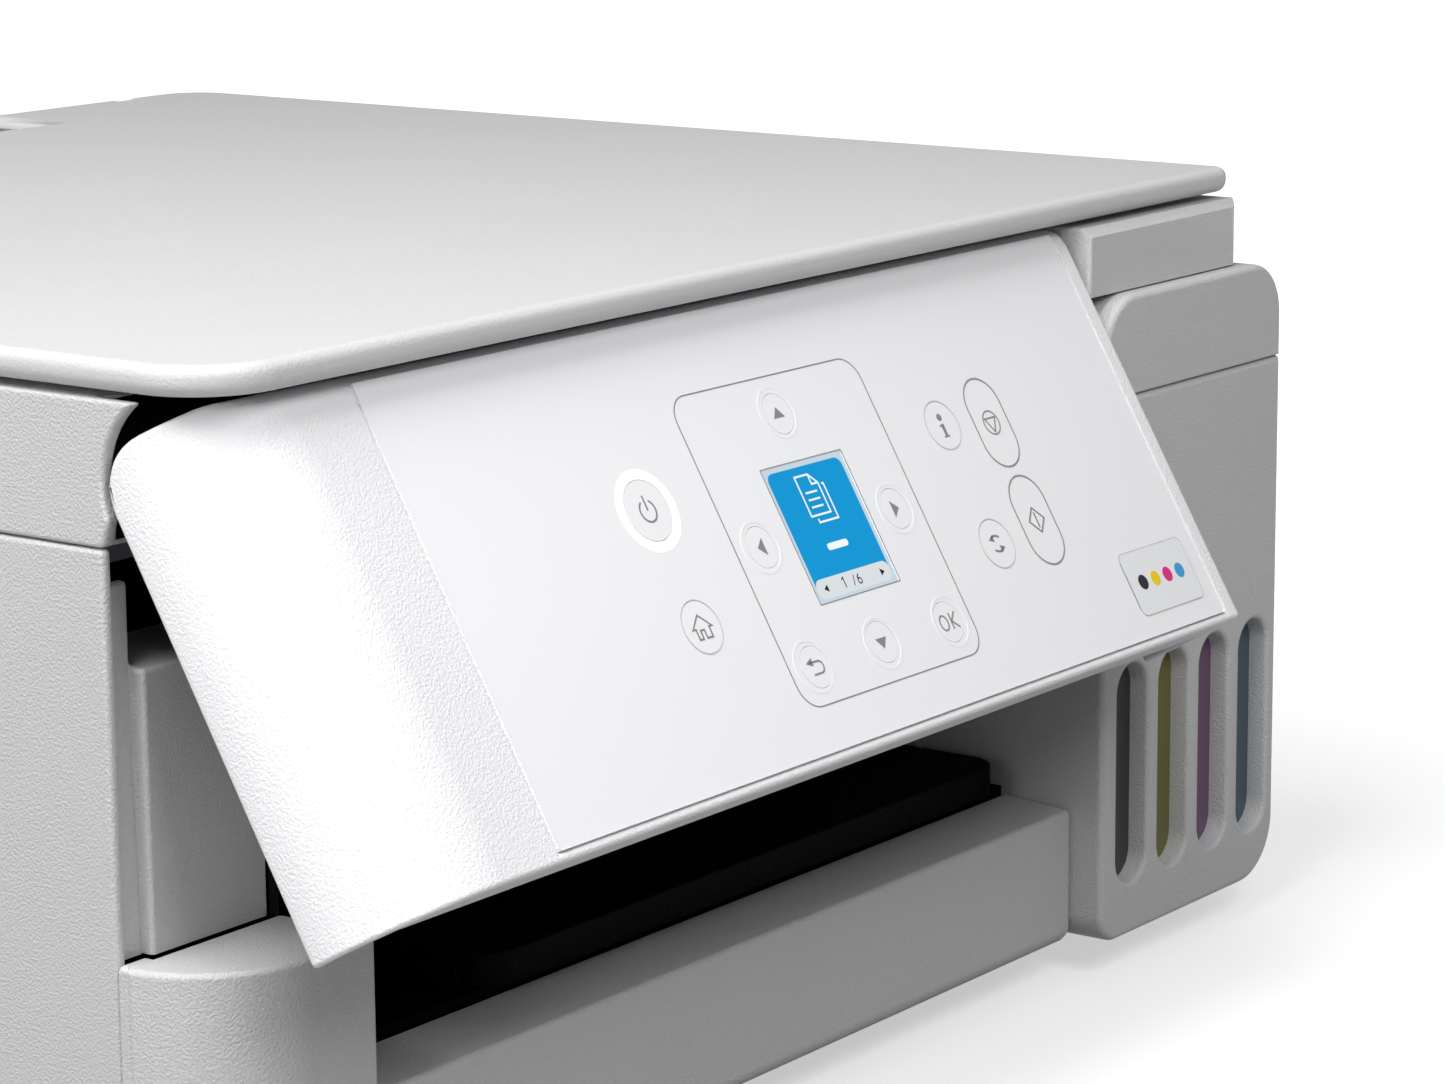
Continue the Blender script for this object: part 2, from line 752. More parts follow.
@dataclass
class Studio(Assembly):
    """The floor, the lights and the camera."""

    lens_mm: float = 109.47
    sensor_mm: float = 36.0
    yaw: float = 53.62
    pitch: float = 11.73
    roll: float = -0.49
    stand: Triple = (-0.74908, -0.6742, 0.31446)
    fade: Pair = (0.35, 0.9)
    floor_size: float = 12.0
    floor_glow: float = 0.53
    floor_lit: str = "#8c8c8c"
    floor_seen: str = "#d8d8d8"
    world_light: float = 0.22

    def camera(self) -> None:
        """Adds the camera that looks at the printer's left front corner."""
        yaw, pitch, roll = (math.radians(a) for a in (self.yaw, self.pitch, self.roll))
        flat = math.cos(pitch)
        ahead = Vector((math.sin(yaw) * flat, math.cos(yaw) * flat, -math.sin(pitch)))
        level = Vector((math.cos(yaw), -math.sin(yaw), 0.0))
        over = level.cross(ahead)
        right = level * math.cos(roll) + over * math.sin(roll)
        up = over * math.cos(roll) - level * math.sin(roll)
        lens = bpy.data.cameras.new("camera")
        lens.lens = self.lens_mm
        lens.sensor_width = self.sensor_mm
        lens.sensor_fit = "HORIZONTAL"
        holder = bpy.data.objects.new("camera", lens)
        bpy.context.scene.collection.objects.link(holder)
        turn = Matrix((right, up, -ahead)).transposed().to_4x4()
        holder.matrix_world = Matrix.Translation(self.stand) @ turn
        bpy.context.scene.camera = holder

    def lamp(self, name: str, at: Triple, to: Triple, size: float, watts: float) -> None:
        """Adds a soft square lamp.

        Args:
            name: Its name.
            at: Where it hangs.
            to: The point it faces.
            size: Its side in metres.
            watts: Its power.
        """
        light = bpy.data.lights.new(name, "AREA")
        light.energy = watts
        light.size = size
        holder = bpy.data.objects.new(name, light)
        bpy.context.scene.collection.objects.link(holder)
        holder.location = at
        holder.rotation_euler = (Vector(to) - Vector(at)).to_track_quat("-Z", "Y").to_euler()

    def paper(self) -> bpy.types.Material:
        """Returns the floor's material: pale, with a glow for the camera that grows to white."""
        material = bpy.data.materials.new("floor_paper")
        tree = empty_tree(material)
        path = add_node(tree, "ShaderNodeLightPath", {}).outputs
        tones = {"data_type": "RGBA", 6: linear(self.floor_lit), 7: linear(self.floor_seen)}
        tone = add_node(tree, "ShaderNodeMix", tones, {0: path["Is Camera Ray"]})
        matt = add_node(tree, "ShaderNodeBsdfDiffuse", {}, {"Color": tone.outputs[2]})
        rays = {0: path["Is Camera Ray"], 1: path["Is Glossy Ray"]}
        seen = add_node(tree, "ShaderNodeMath", {"operation": "MAXIMUM"}, rays)
        place = add_node(tree, "ShaderNodeTexCoord", {}).outputs["Object"]
        reach = add_node(tree, "ShaderNodeVectorMath", {"operation": "LENGTH"}, {0: place})
        near, far = self.fade
        ends = {"From Min": near, "From Max": far, "To Min": self.floor_glow, "To Max": 1.0}
        fade = add_node(tree, "ShaderNodeMapRange", ends, {"Value": reach.outputs["Value"]})
        both = {0: seen.outputs[0], 1: fade.outputs[0]}
        lift = add_node(tree, "ShaderNodeMath", {"operation": "MULTIPLY"}, both)
        glow = add_node(tree, "ShaderNodeEmission", {}, {"Strength": lift.outputs[0]})
        paper = add_node(tree, "ShaderNodeAddShader", {}, {0: matt.outputs[0], 1: glow.outputs[0]})
        add_node(tree, "ShaderNodeOutputMaterial", {}, {"Surface": paper.outputs[0]})
        return material

    def floor(self) -> None:
        """Adds the pale floor, which keeps the printer's shadow."""
        deselect()
        bpy.ops.mesh.primitive_plane_add(size=self.floor_size)
        ground = bpy.context.active_object
        ground.name = "floor"
        ground.data.materials.append(self.paper())

    def surroundings(self) -> None:
        """Sets a white background that lights the printer only gently."""
        world = bpy.data.worlds.new("studio")
        bpy.context.scene.world = world
        tree = empty_tree(world)
        seen = add_node(tree, "ShaderNodeLightPath", {}).outputs["Is Camera Ray"]
        ends = {"To Min": self.world_light, "To Max": 1.0}
        strength = add_node(tree, "ShaderNodeMapRange", ends, {"Value": seen})
        white = {"Color": linear("#ffffff")}
        sky = add_node(tree, "ShaderNodeBackground", white, {"Strength": strength.outputs[0]})
        add_node(tree, "ShaderNodeOutputWorld", {}, {"Surface": sky.outputs[0]})

    def build(self) -> None:
        """Builds the studio."""
        self.camera()
        self.floor()
        self.surroundings()
        self.lamp("left", (-1.1, -0.12, 0.42), (-0.19, 0.0, 0.1), 0.4, 2.3)
        self.lamp("front", (-0.35, -0.85, 0.85), (-0.05, -0.1, 0.1), 0.5, 5.0)
        self.lamp("top", (-0.55, -0.1, 1.0), (-0.1, 0.0, 0.15), 0.6, 10.2)
        bpy.context.scene.view_settings.view_transform = "Standard"


@dataclass
class LowerBody(Assembly):
    """The lower case with its front cover, base, feet and power inlet."""

    edge_mm: float = 1.0
    bar_edge_mm: float = 1.3
    cover_corner_mm: float = 24.5
    pin_r_mm: float = 1.1
    pin_mm: float = 9.0
    pin_gap_mm: float = 8.6
    pin_deep_mm: float = 16.0
    socket_mm: Pair = (9.4, 8.6)
    socket_up_mm: float = 62.0
    socket_in_mm: float = 2.2
    screw_r_mm: float = 3.4
    screw_up_mm: Pair = (18.0, 118.0)
    screw_in_mm: float = 20.0
    screw_hole_mm: float = 1.6
    slot_mm: Pair = (3.6, 0.9)
    seat_mm: float = 0.05
    over_mm: float = 1.0
    column_mm: float = 1.2

    def back(self) -> WorkPlane:
        """Returns the plane of the case's back, seen from behind, from the middle of its foot."""
        return upright(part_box("lower_case")[1].y, -ACROSS)

    def socket_middle(self) -> Pair:
        """Returns the cable socket's middle on the back's plane."""
        low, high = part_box("power_inlet")
        return (-(low.x + high.x) / 2 / MM, self.socket_up_mm)

    def screw_places(self) -> Outline:
        """Returns the screws' middles on the back's plane."""
        low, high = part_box("lower_case")
        sides = (-low.x / MM - self.screw_in_mm, -high.x / MM + self.screw_in_mm)
        return [(x, z) for x in sides for z in self.screw_up_mm]

    def case_share(self, a: Vector, b: Vector) -> float:
        """Keeps the edges that stand on the front column crisp."""
        column_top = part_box("front_cover")[1].z
        off = max(abs(a.z - column_top), abs(b.z - column_top))
        return 0.0 if off < self.column_mm * MM else 1.0

    def cover_share(self, a: Vector, b: Vector) -> float:
        """Keeps the front cover's edges crisp where it meets the case behind it."""
        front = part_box("front_cover")[0].y
        return 0.0 if min(a.y, b.y) > front + self.cover_corner_mm * MM else 1.0

    def shell(self) -> None:
        """Builds the lower case's shell with its screw holes and cable socket."""
        shell = self.soften("lower_case", "case_shell", self.edge_mm, 3, self.case_share)
        back = self.back()
        wide, tall = self.socket_mm
        hole = rounded(wide + 2.0, tall + 2.0, 0.8, self.socket_middle())
        carve(shell, back.plate("cut", hole, -self.socket_in_mm, self.over_mm))
        for middle in self.screw_places():
            hole = circle(middle, self.screw_r_mm + 0.6, 24)
            carve(shell, back.plate("cut", hole, -self.screw_hole_mm, self.over_mm))
        even_out(shell)
        self.place(shell, Look.CASE, "case", "case_plastic", "lower_case")

    def socket(self) -> None:
        """Builds the square cable socket: a metal sleeve round a dark tongue."""
        back = self.back()
        wide, tall = self.socket_mm
        middle = self.socket_middle()
        foot = -self.socket_in_mm + self.seat_mm
        sleeve = back.loop("socket_sleeve", rounded(wide, tall, 1.2, middle), 0.5, foot, -0.3)
        self.place(sleeve, Look.STEEL, "case", "steel")
        block = rounded(wide - 4.0, tall - 4.6, 0.4, middle)
        tongue = back.plate("socket_tongue", block, foot, -0.6)
        ground = rounded(wide - 1.2, tall - 1.2, 0.8, middle)
        base = back.plate("socket_base", ground, foot, foot + 0.4)
        self.place(joined("socket_tongue", [tongue, base]), Look.BLACK, "case", "black_plastic")

    def screws(self) -> None:
        """Builds the cross-headed screws in the back."""
        back = self.back()
        rim = back.origin.y - 0.6 * MM
        for number, middle in enumerate(self.screw_places()):
            foot = self.seat_mm - self.screw_hole_mm
            head = back.plate("screw", circle(middle, self.screw_r_mm, 24), foot, -0.5)
            round_edges(head, lambda a, b: min(a.y, b.y) > rim, 0.5 * MM, 3)
            for wide, tall in (self.slot_mm, self.slot_mm[::-1]):
                carve(head, back.plate("cut", rounded(wide, tall, 0.2, middle), -1.2, 0.0))
            smooth(head)
            head.name = f"back_screw_{number}"
            self.place(head, Look.STEEL, "case", "steel")

    def pins(self) -> None:
        """Builds the mains inlet's two pins."""
        low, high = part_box("power_inlet")
        middle = (low + high) / 2
        depth = high.y - (self.pin_deep_mm - self.pin_mm / 2) * MM
        pins = []
        for side in (-0.5, 0.5):
            deselect()
            bpy.ops.mesh.primitive_cylinder_add(
                vertices=24,
                radius=self.pin_r_mm * MM,
                depth=self.pin_mm * MM,
                location=(middle.x + side * self.pin_gap_mm * MM, depth, middle.z),
                rotation=(math.radians(90), 0.0, 0.0),
            )
            pin = bpy.context.active_object
            bpy.ops.object.transform_apply(location=True, rotation=True, scale=True)
            tip = max(v.co.y for v in pin.data.vertices)
            round_edges(pin, lambda a, b: min(a.y, b.y) > tip - NEAR, self.pin_r_mm * 0.8 * MM, 4)
            pins.append(pin)
        both = joined("inlet_pins", pins)
        smooth(both)
        self.place(both, Look.STEEL, "case", "steel")

    def build(self) -> None:
        """Builds the lower body."""
        self.shell()
        cover = self.soften("front_cover", "front_shell", self.bar_edge_mm, 4, self.cover_share)
        self.place(cover, Look.CASE, "case", "case_plastic", "front_cover")
        self.socket()
        self.screws()
        self.pins()
        self.paint(Look.DARK, "base_pan")
        self.paint(Look.RUBBER, "feet")
        self.paint(Look.BLACK, "power_inlet", "power_supply")


@dataclass
class ScannerUnit(Assembly):
    """The flatbed scanner with its lid."""

    edge_mm: float = 0.9
    lid_edge_mm: float = 2.7
    lid_back_mm: float = 40.0
    rim_mm: float = 9.0
    hinge_in_mm: Pair = (24.0, 36.0)
    lid_radii_mm: Pair = (14.0, 4.5)
    nose_radii_mm: Pair = (12.0, 4.0)
    nose_slope_mm: float = 3.0
    nose_skin_mm: float = 0.2
    foot_mm: float = 0.8
    recess_in_mm: float = 30.2
    recess_off_mm: tuple[float, ...] = (3.4, -1.8, 1.2, -0.4)
    recess_mm: float = 0.2

    def lid_share(self, a: Vector, b: Vector) -> float:
        """Gives the lid's outer rim the full rounding; none to the hinge cut-outs and the inside.

        Args:
            a: One end of the edge.
            b: The other end.

        Returns:
            Its share of the rounding, from 0 to 1.
        """
        low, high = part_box("scanner_lid")
        rim = self.rim_mm * MM
        near, far = (v * MM for v in self.hinge_in_mm)
        x0, x1 = sorted((a.x, b.x))
        level = min(a.z, b.z) > high.z - NEAR or max(a.z, b.z) < low.z + NEAR
        back = high.y - self.lid_back_mm * MM
        inside = low.x + rim < a.x < high.x - rim and low.y + rim < a.y < back
        beyond = x1 < low.x + near or x0 > high.x - near
        between = x0 > low.x + far and x1 < high.x - far
        at_hinge = max(a.y, b.y) > high.y - rim and not (beyond or between)
        return 0.0 if inside or at_hinge or not level else 1.0

    def case_share(self, a: Vector, b: Vector) -> float:
        """Keeps the edges just above the tank cover and of the right front slope crisp.

        Args:
            a: One end of the edge.
            b: The other end.

        Returns:
            Its share of the rounding, from 0 to 1.
        """
        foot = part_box("tank_cover")[1].z
        front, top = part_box("scanner_case")[0].y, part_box("scanner_bezel")[1].z
        reach = (self.nose_slope_mm + 0.1) * MM
        on_slope = max(a.y, b.y) < front + reach and min(a.z, b.z) > top - reach
        at_foot = max(abs(a.z - foot), abs(b.z - foot)) < self.foot_mm * MM
        return 0.0 if on_slope or at_foot else 1.0

    def recess(self) -> None:
        """Lines the wall behind the control panel, so that the gap over the panel is dark."""
        low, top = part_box("scanner_case")[0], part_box("scanner_bezel")[1].z
        left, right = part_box("panel_shell")[0].x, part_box("tank_cover")[0].x
        wall = upright(low.y + self.recess_in_mm * MM)
        ends = zip((left, right, low.z, top), self.recess_off_mm)
        x0, x1, z0, z1 = (end / MM + off for end, off in ends)
        corners = [(x0, z0), (x1, z0), (x1, z1), (x0, z1)]
        lining = wall.plate("recess_lining", corners, 0.0, self.recess_mm)
        self.place(lining, Look.BLACK, "scanner", "black_plastic")

    def tightener(self, node: str, radii_mm: Pair, skin_mm: float) -> Callable[[Piece], None]:
        """Returns what gives a solid's right front corner its smaller radius."""
        low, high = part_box(node)
        return lambda piece: tighten(piece, (0, 1), (high.x, low.y), (1, -1), radii_mm, skin_mm)

    def build(self) -> None:
        """Builds the scanner."""
        nose = self.tightener("scanner_case", self.nose_radii_mm, self.nose_skin_mm)
        shell = self.soften("scanner_case", "scanner_shell", self.edge_mm, 3, self.case_share, nose)
        self.place(shell, Look.CASE, "scanner", "case_plastic", "scanner_case")
        self.recess()
        corner = self.tightener("scanner_lid", self.lid_radii_mm, self.skin_mm)
        lid = self.soften("scanner_lid", "lid_shell", self.lid_edge_mm, 6, self.lid_share, corner)
        self.place(lid, Look.LID, "lid", "case_plastic", "scanner_lid")
        self.paint(Look.CASE, "scanner_bezel")
        self.paint(Look.WHITE, "lid_mat")
        self.paint(Look.GLASS, "scanner_glass")
        self.paint(Look.BLACK, "scan_head")


@dataclass
class ControlPanel(Assembly):
    """The tilting panel with its printed sheet, keys and display.

    Marks are placed on the panel's front plane: across from the machine's middle, and up from the
    panel's lower edge, in millimetres.
    """

    tilt: float = 30.0
    face_off_mm: float = 11.2
    hinge_up_mm: float = 86.6
    edge_mm: float = 1.0
    print_mm: float = 0.05
    line_mm: float = 0.42
    bold_mm: float = 0.45
    fine_mm: float = 0.35
    screen_mm: float = -0.25
    layer_mm: float = 0.02
    ring_r_mm: float = 5.85
    oblong_mm: Triple = (12.9, 21.3, 6.44)
    badge_mm: Triple = (26.5, 15.0, 2.0)
    badge_mid: Pair = (79.2, 14.5)
    badge_up_mm: float = 0.12
    power: Pair = (-79.5, 59.2)
    home: Pair = (-79.1, 34.1)
    info: Pair = (25.7, 60.5)
    reset: Pair = (25.7, 32.5)
    stop: Pair = (43.3, 58.3)
    start: Pair = (43.4, 34.9)
    up: Pair = (-27.0, 72.1)
    down: Pair = (-27.0, 19.9)
    left: Pair = (-51.0, 46.0)
    right: Pair = (-3.0, 46.0)
    back: Pair = (-51.6, 19.8)
    confirm: Pair = (-2.0, 19.8)

    def face(self) -> WorkPlane:
        """Returns the panel's front plane."""
        tilt = math.radians(self.tilt)
        up = Vector((0.0, math.sin(tilt), math.cos(tilt)))
        out = Vector((0.0, -math.cos(tilt), math.sin(tilt)))
        pivot = joint_place("panel_hinge")
        foot = Vector((0.0, pivot.y, pivot.z)) + out * self.face_off_mm * MM
        foot -= up * self.hinge_up_mm * MM
        return WorkPlane(foot, ACROSS, up)

    def pen(self, path: Outline, width: float | None = None) -> Piece:
        """Prints a line along a path."""
        return self.face().plate("line", stroke(path, width or self.line_mm), 0.0, self.print_mm)

    def fill(self, outline: Outline) -> Piece:
        """Prints a filled shape."""
        return self.face().plate("fill", outline, 0.0, self.print_mm)

    def ring(self, outline: Outline, width: float) -> Piece:
        """Prints the border of a shape."""
        return self.face().loop("ring", outline, width, 0.0, self.print_mm)

    def mark(self, name: str, look: Look, body: str, *pieces: Piece) -> None:
        """Joins a mark's lines and sets them on the panel or on a key."""
        slot = "front_sheet" if body == "panel" else "key_plastic"
        self.place(joined(name, list(pieces)), look, body, slot)

    def sign(self, key: str, *pieces: Piece) -> None:
        """Joins a sign's lines and sets them on its key."""
        self.mark(f"{key}_mark", Look.MARK, f"key_{key}", *pieces)

    def sheet_marks(self) -> None:
        """Prints the frame round the display's keys, the keys' rings and the display's border.

        The gaps round the keys that have no ring get a thin film, so that the sheet looks whole.
        """
        border = self.ring(rounded(65.0, 68.8, 5.5, (-27.0, 45.9)), 0.3)
        self.mark("frame_mark", Look.MARK, "panel", border)
        ringed = (self.home, self.info, self.reset)
        plain = (self.up, self.down, self.left, self.right, self.back, self.confirm)
        for name, look, keys, width in (
            ("ring_marks", Look.FAINT_MARK, ringed, 0.2),
            ("key_seals", Look.FILM, plain, 0.5),
        ):
            rings = [self.ring(circle(key, self.ring_r_mm, 60), width) for key in keys]
            self.mark(name, look, "panel", *rings)
        border = self.ring(rounded(28.8, 30.3, 0.3, (-26.5, 46.2)), 0.24)
        self.mark("screen_outline", Look.MARK, "panel", border)

    def power_marks(self) -> None:
        """Prints the power sign and builds the ring of light round it."""
        bow = self.pen(arc(self.power, 2.33, 120.0, 420.0, 30), self.bold_mm)
        self.sign("power", bow, self.pen(moved(self.power, (0.0, 0.1), (0.0, 3.3)), self.bold_mm))
        self.mark("power_light", Look.HALO, "panel", self.ring(circle(self.power, 8.3, 60), 1.0))
        edges = [self.ring(circle(self.power, radius, 60), 0.55) for radius in (7.25, 8.9)]
        self.mark("power_light_edge", Look.HALO_EDGE, "panel", *edges)

    def home_mark(self) -> None:
        """Prints the house."""
        roof = moved(self.home, (-2.1, -0.2), (-3.1, -0.2), (0.0, 2.5), (3.1, -0.2), (2.1, -0.2))
        door = ((-0.9, -2.4), (-0.9, -0.6), (0.3, -0.6), (0.3, -2.4))
        walls = moved(self.home, (-2.1, 0.0), (-2.1, -2.4), *door, (2.1, -2.4), (2.1, 0.0))
        self.sign("home", self.pen(roof), self.pen(walls))

    def arrow_marks(self) -> None:
        """Prints the four arrows, the way back and the confirming sign."""
        self.sign("up", self.fill(moved(self.up, (-1.9, -1.2), (1.9, -1.2), (0.0, 1.2))))
        self.sign("down", self.fill(moved(self.down, (-1.9, 1.2), (0.0, -1.2), (1.9, 1.2))))
        self.sign("left", self.fill(moved(self.left, (1.15, -1.9), (1.15, 1.9), (-1.15, 0.0))))
        self.sign("right", self.fill(moved(self.right, (-1.15, -1.9), (1.15, 0.0), (-1.15, 1.9))))
        bend = arc((-49.7, 19.4), 1.3, 90.0, -90.0, 12)
        hook = self.pen([(-52.6, 20.7)] + bend + [(-52.3, 18.1)])
        self.sign("back", hook, self.fill([(-53.5, 20.7), (-51.4, 21.7), (-51.4, 19.8)]))
        turns = [math.tau * i / 36 for i in range(36)]
        oval = [(-4.3 + 1.55 * math.cos(a), 19.8 + 1.85 * math.sin(a)) for a in turns]
        bowl = self.ring(oval, 0.4)
        stem = self.pen([(-1.7, 18.0), (-1.7, 21.6)])
        arm = self.pen([(0.4, 21.6), (-1.5, 19.8), (0.5, 18.0)])
        self.mark("confirm_mark", Look.MARK, "key_ok", bowl, stem, arm)

    def side_marks(self) -> None:
        """Prints the signs of the four keys on the right."""
        dot = self.fill(circle((self.info[0], self.info[1] + 1.9), 0.85, 24))
        left = ((-1.0, 0.2), (-1.0, -0.25), (-0.5, -0.3), (-0.5, -2.3), (-1.0, -2.4), (-1.0, -2.75))
        right = ((1.0, -2.75), (1.0, -2.4), (0.5, -2.3), (0.5, 0.4))
        self.sign("info", dot, self.fill(moved(self.info, *left, *right)))
        turns = []
        for side, start in ((1, 50.0), (-1, 230.0)):
            bow = arc((self.reset[0], self.reset[1] - 0.7 * side), 2.5, start, start + 75.0, 10)
            tip = [(x * side, y * side) for x, y in ((-0.9, -0.25), (0.8, 0.8), (0.9, -0.9))]
            turns += [self.pen(bow, 0.5), self.fill(moved(bow[-1], *tip))]
        self.sign("reset", *turns)
        border = self.ring(rounded(*self.oblong_mm, self.stop), self.fine_mm)
        round_line = self.ring(circle(self.stop, 2.95, 36), self.fine_mm)
        corners = moved(self.stop, (-2.3, 1.3), (0.0, -2.6), (2.3, 1.3))
        self.sign("stop", border, round_line, self.ring(corners, 0.4))
        border = self.ring(rounded(*self.oblong_mm, self.start), self.fine_mm)
        tips = moved(self.start, (-3.2, 0.0), (0.0, -3.2), (3.2, 0.0), (0.0, 3.2))
        bar = self.pen(moved(self.start, (0.0, -1.8), (0.0, 1.8)), self.bold_mm)
        self.sign("start", border, self.ring(tips, self.bold_mm), bar)

    def glow_plate(self, name: str, look: Look, layer: int, outlines: list[Outline]) -> None:
        """Builds one lit layer of the display's picture.

        Args:
            name: The new piece's name.
            look: Its finish.
            layer: Its number, from the glass outward.
            outlines: The shapes it is made of.
        """
        face, low = self.face(), self.screen_mm + self.layer_mm * (layer - 1)
        pieces = [face.plate("layer", outline, low, low + self.layer_mm) for outline in outlines]
        self.place(joined(name, pieces), look, "panel", "display")

    def display(self) -> None:
        """Builds the display's picture: a menu page with a plain bar below a sign of two sheets."""
        x0, x1, low, high = -39.5, -13.5, 36.0, 60.0
        top = arc((x1 - 2.0, high - 2.0), 2.0, 0.0, 90.0, 8)
        top += arc((x0 + 2.0, high - 2.0), 2.0, 90.0, 180.0, 8)
        field = top + [(x0, low - 1.0), (x1, low - 1.0)]
        self.glow_plate("screen_field", Look.SCREEN_FIELD, 1, [field])
        bar = rounded(x1 - x0, 4.3, 1.9, ((x0 + x1) / 2, 34.15))
        self.glow_plate("screen_strip", Look.SCREEN_BAR, 2, [bar])
        front = [(-30.8, 49.2), (-30.8, 58.0), (-26.2, 58.0), (-24.0, 55.8), (-24.0, 49.2)]
        fold = [(-26.2, 58.0), (-26.2, 55.8), (-24.0, 55.8)]
        behind = [(-23.0, 55.4), (-22.4, 55.4), (-22.4, 47.6), (-29.0, 47.6), (-29.0, 48.4)]
        lines = [[(-29.4, s), (-25.4, s)] for s in (54.2, 52.6, 51.0)]
        icon = [stroke(path, self.line_mm) for path in (front + front[:2], fold, behind, *lines)]
        icon.append(rounded(7.2, 1.5, 0.7, (-26.6, 42.2)))
        self.glow_plate("screen_icon", Look.SCREEN_WHITE, 3, icon)
        six = arc((-24.7, 33.7), 0.6, 160.0, 520.0, 20) + [(-25.2, 34.6), (-24.5, 35.2)]
        figures = [
            [(-35.8, 33.3), (-35.8, 34.9), (-37.2, 34.1)],
            [(-17.0, 33.3), (-15.6, 34.1), (-17.0, 34.9)],
            stroke([(-30.5, 34.9), (-29.9, 35.4), (-29.9, 33.1)], 0.3),
            stroke([(-27.0, 33.0), (-26.2, 35.3)], 0.22),
            stroke(six, 0.28),
        ]
        self.glow_plate("screen_figures", Look.SCREEN_BLACK, 3, figures)

    def badge(self) -> None:
        """Builds the pale badge with a dot in each ink's colour."""
        face, outline, top = self.face(), rounded(*self.badge_mm, self.badge_mid), self.badge_up_mm
        self.place(face.plate("tank_badge", outline, 0.0, top), Look.BADGE, "panel", "front_sheet")
        edge = face.loop("badge_edge", outline, 0.18, 0.0, top + 0.02)
        self.place(edge, Look.FAINT_MARK, "panel", "front_sheet")
        for i, ink in enumerate(INKS):
            middle = (self.badge_mid[0] + (i - 1.5) * 5.2, self.badge_mid[1])
            dot = face.plate(f"badge_dot_{ink}", circle(middle, 1.75, 36), top, top + 0.05)
            self.place(dot, Look[f"DOT_{ink.upper()}"], "panel", "front_sheet")

    def build(self) -> None:
        """Builds the panel."""
        shell = self.soften("panel_shell", "panel_body", self.edge_mm, 3)
        self.place(shell, Look.WHITE, "panel", "white_plastic", "panel_shell")
        self.sheet_marks()
        self.power_marks()
        self.home_mark()
        self.arrow_marks()
        self.side_marks()
        self.display()
        self.badge()
        self.paint(Look.FILM, "panel_sheet")
        self.paint(Look.SCREEN_EDGE, "display")
        self.paint(Look.BOARD, "key_board")
        keys = [n for n in frame["nodes"] if n.startswith("key_") and n != "key_board"]
        self.paint(Look.KEY, *keys)


